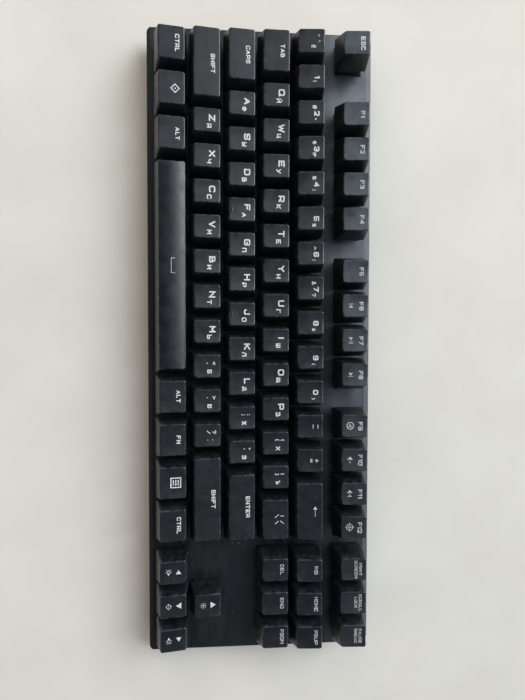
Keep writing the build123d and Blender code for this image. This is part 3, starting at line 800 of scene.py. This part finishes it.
ROWS = {
    "function": [
        ("escape_key", 1, word("ESC", 2.45, 0.3, 3.1)), 1,
        *[function_key(n) for n in (1, 2, 3, 4)], 0.5,
        *[function_key(n) for n in (5, 6, 7, 8)], 0.5,
        *[function_key(n) for n in (9, 10, 11, 12)], 0.25,
        *navigation(
            two_lines("PRINT", "SCREEN"), two_lines("SCROLL", "LOCK"), two_lines("PAUSE", "BREAK"),
        ),
    ],
    "number": [
        *symbols(
            word("~", 1.3, -2.9, 3.6) + word("`", 1.9, 0, 3.5) + word("Ё", 1.9, 3.0, 0.6),
            digit("", "1", "!", 2.4), digit("@", "2", '"'), digit("#", "3", "№"), digit("$", "4", ";"),
            digit("", "5", "%"), digit("^", "6", ":"), digit("&", "7", "?"), digit("", "8", "*"),
            digit("", "9", "("), digit("", "0", ")"),
            word("_", 2.1, 0.2, 5.0, 1.1) + word("-", 2.1, 0.2, 1.5, 1.1),
            word("+", 2.1, 0.2, 3.6, 1.0) + word("=", 2.1, 0.2, 0.6, 1.0),
        ),
        ("backspace_key", 2, icon("back", 2.4, 0, 2.9, 1.75)), 0.25,
        *navigation(named("INS"), named("HOME"), named("PGUP")),
    ],
    "tab": [
        ("tab_key", 1.5, word("TAB")),
        *letters("QЙ WЦ EУ RК TЕ YН UГ IШ OЩ PЗ"),
        *symbols(two_signs("{", "[", "Х"), two_signs("}", "]", "Ъ")),
        ("number_and_symbol_keys", 1.5, word("|", 2.1, -1.8, 3.6) + word("\\", 2.1, -1.8, 0.6)
         + word("/", 2.1, 1.8, 3.6) + word("\\", 2.1, 1.8, 0.6)), 0.25,
        *navigation(named("DEL"), named("END"), named("PGDN")),
    ],
    "caps": [
        ("caps_lock_key", 1.75, word("CAPS")),
        *letters("AФ SЫ DВ FА GП HР JО KЛ LД"),
        *symbols(two_signs(":", ";", "Ж"), two_signs('"', "'", "Э")),
        ("enter_key", 2.25, word("ENTER")),
    ],
    "shift": [
        ("left_shift_key", 2.25, word("SHIFT", u=0.6)),
        *letters("ZЯ XЧ CС VМ BИ NТ MЬ"),
        *symbols(
            two_signs("<", ",", "Б"), two_signs(">", ".", "Ю"),
            two_signs("?", "/") + word(",", 1.7, 2.7, 3.4) + word(".", 1.7, 2.7, 0.6),
        ),
        ("right_shift_key", 2.75, word("SHIFT")), 1.25,
        arrow_key("up", "sun"),
    ],
    "bottom": [
        ("left_ctrl_key", 1.25, word("CTRL")),
        ("super_key", 1.25, icon("diamond", 4.9, 0.3, 2.0)),
        ("left_alt_key", 1.25, word("ALT", u=0.5)),
        ("space_bar", BAR_UNITS, icon("space", 2.2, 0, 0.6, 0.9)),
        ("right_alt_key", 1.25, word("ALT")),
        ("fn_key", 1.25, word("FN")),
        ("menu_key", 1.25, icon("menu", 5.8, 0, 1.6)),
        ("right_ctrl_key", 1.25, word("CTRL")), 0.25,
        arrow_key("left", "glow_left"), arrow_key("down", "dim_sun"), arrow_key("right", "glow_right"),
    ],
}


def keys_in(row):
    """(node, middle in units from the left end, width in units, legend) along a row."""
    reach = 0.0
    for entry in ROWS[row]:
        if not isinstance(entry, tuple):
            reach += entry
            continue
        node, units, marks = entry
        yield node, reach + units / 2, float(units), marks
        reach += units


made_of = {}
for row in ROWS:
    for node, middle, units, marks in keys_in(row):
        made_of[node] = made_of.get(node, 0) + 1
        alone = node.startswith("key_") or units > 1 and "symbol" not in node
        name = node if alone else f"{node}_{made_of[node]:02d}"
        place = Matrix.Translation(((middle - KEY_FIELD_UNITS / 2) * UNIT, ROW_Y[row], 0))
        cap_shape = keycap_mesh(row, units)
        if node in ("key_f", "key_j"):
            homing_bar(cap_shape, row)
        cap = finished_piece(cap_shape, f"cap_{name}", CAP_PAINT, place, node)
        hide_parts(node)

        top = top_frame(row)
        hollow = hollow_at(units * UNIT - KEY_GAP, units)

        def surface(u, v, over):
            return top @ Vector((u, v, over - hollow(u, v)))

        legend_shape = bmesh.new()
        for glyphs, height, u, v, wide in marks:
            mark(legend_shape, glyphs, height, u, v, wide, surface)
        dim = node in ("function_keys", "navigation_keys")
        paint = DIM_LEGEND_PAINT if dim else LEGEND_PAINT
        finished_piece(legend_shape, f"legend_{name}", paint, place, node)

# ---------------------------------------------------------------- table, light and camera
CAMERA_PLACE = Vector((-3.39, -13.91, 254.55))
CAMERA_RIGHT = Vector((-0.0016, 1.0, 0.0595))
CAMERA_BACK = Vector((-0.0268, -0.0595, 1.0))
CAMERA_LENS = 22.39


def table_paint():
    made, tree, shader, coords = started("table_laminate")
    blend = spread(tree, noise(tree, coords, 60.0, 6.0), 0.3, 0.7)
    colour = mixed(tree, blend, rgb("cecbc2"), rgb("d6d3cb"))
    crumbs = summed(tree, specks(tree, coords, 9.0, 0.5, 0.35), specks(tree, coords, 4.0, 0.25, 0.3))
    colour = mixed(tree, multiplied(tree, crumbs, 0.35), colour, rgb("8d887c"))
    tree.links.new(colour, shader.inputs["Base Color"])
    shader.inputs["Roughness"].default_value = 0.7
    shader.inputs["Specular IOR Level"].default_value = 0.2
    bumped(tree, shader, noise(tree, coords, 1.2, 3.0), 0.01)
    return made


def table_top(size=3.0, steps=12):
    mesh = bmesh.new()
    bmesh.ops.create_grid(mesh, x_segments=steps, y_segments=steps, size=size / 2)
    data = bpy.data.meshes.new("table")
    mesh.to_mesh(data)
    mesh.free()
    data.materials.append(table_paint())
    table = bpy.data.objects.new("table", data)
    bpy.context.scene.collection.objects.link(table)


def soft_light(name, place, size, power, colour, glossy=True):
    """A rectangular lamp that faces the keyboard. glossy says whether smooth surfaces mirror it."""
    data = bpy.data.lights.new(name, "AREA")
    data.shape = "RECTANGLE"
    data.size, data.size_y = size
    data.energy = power
    data.color = colour
    lamp = bpy.data.objects.new(name, data)
    lamp.location = place
    lamp.visible_glossy = glossy
    lamp.rotation_euler = Vector(place).to_track_quat("Z", "Y").to_euler()
    bpy.context.scene.collection.objects.link(lamp)


def sky():
    """A dim room: bright low down at the rear and high on the left, dark overhead and to the right."""
    world = bpy.data.worlds.new("studio")
    world.use_nodes = True
    tree = world.node_tree
    direction = add(tree, "TexCoord", {}).outputs["Generated"]
    parts = add(tree, "SeparateXYZ", {"Vector": direction}).outputs
    rearward = spread(tree, parts["Y"], -0.3, 0.3)
    ends = mixed(tree, rearward, (0.21, 0.20, 0.18, 1.0), (1.20, 1.27, 1.37, 1.0))
    endwise = spread(tree, multiplied(tree, parts["Y"], parts["Y"]), 0.04, 0.5)
    around = mixed(tree, endwise, (0.07, 0.08, 0.09, 1.0), ends)
    rearward = spread(tree, parts["Y"], -0.2, 0.35)
    above = mixed(tree, rearward, (0.05, 0.06, 0.075, 1.0), (0.33, 0.37, 0.43, 1.0))
    leftward = spread(tree, parts["X"], -0.3, -0.85, 0.0, 0.7)
    above = mixed(tree, leftward, above, (0.90, 0.97, 1.07, 1.0))
    colour = mixed(tree, spread(tree, parts["Z"], 0.15, 0.8), around, above)
    background = tree.nodes["Background"]
    tree.links.new(colour, background.inputs["Color"])
    background.inputs["Strength"].default_value = 1.0
    bpy.context.scene.world = world


def camera():
    """A wide view from close above, with the keyboard's rear to the right of the picture."""
    data = bpy.data.cameras.new("camera")
    data.sensor_width = 36.0
    data.lens = CAMERA_LENS
    data.clip_start = 0.01
    made = bpy.data.objects.new("camera", data)
    right, back = CAMERA_RIGHT.normalized(), CAMERA_BACK.normalized()
    up = back.cross(right).normalized()
    right = up.cross(back)
    turned = Matrix((right, up, back)).transposed().to_4x4()
    made.matrix_world = (
        Matrix.Translation(DECK @ CAMERA_PLACE)
        @ Matrix.Rotation(TILT, 4, "X")
        @ turned
    )
    bpy.context.scene.collection.objects.link(made)
    bpy.context.scene.camera = made


table_top()
sky()
soft_light("window", (-2.5, 4.2, 4.2), (4.8, 4.2), 480.0, (0.91, 0.96, 1.0))
soft_light("side_fill", (-1.1, -0.25, 0.9), (0.8, 0.8), 6.0, (1.0, 0.90, 0.77), glossy=False)
soft_light("warm_wall", (0.3, -2.0, 1.6), (2.5, 2.5), 9.0, (1.0, 0.66, 0.42), glossy=False)
camera()
bpy.context.scene.view_settings.view_transform = "Standard"
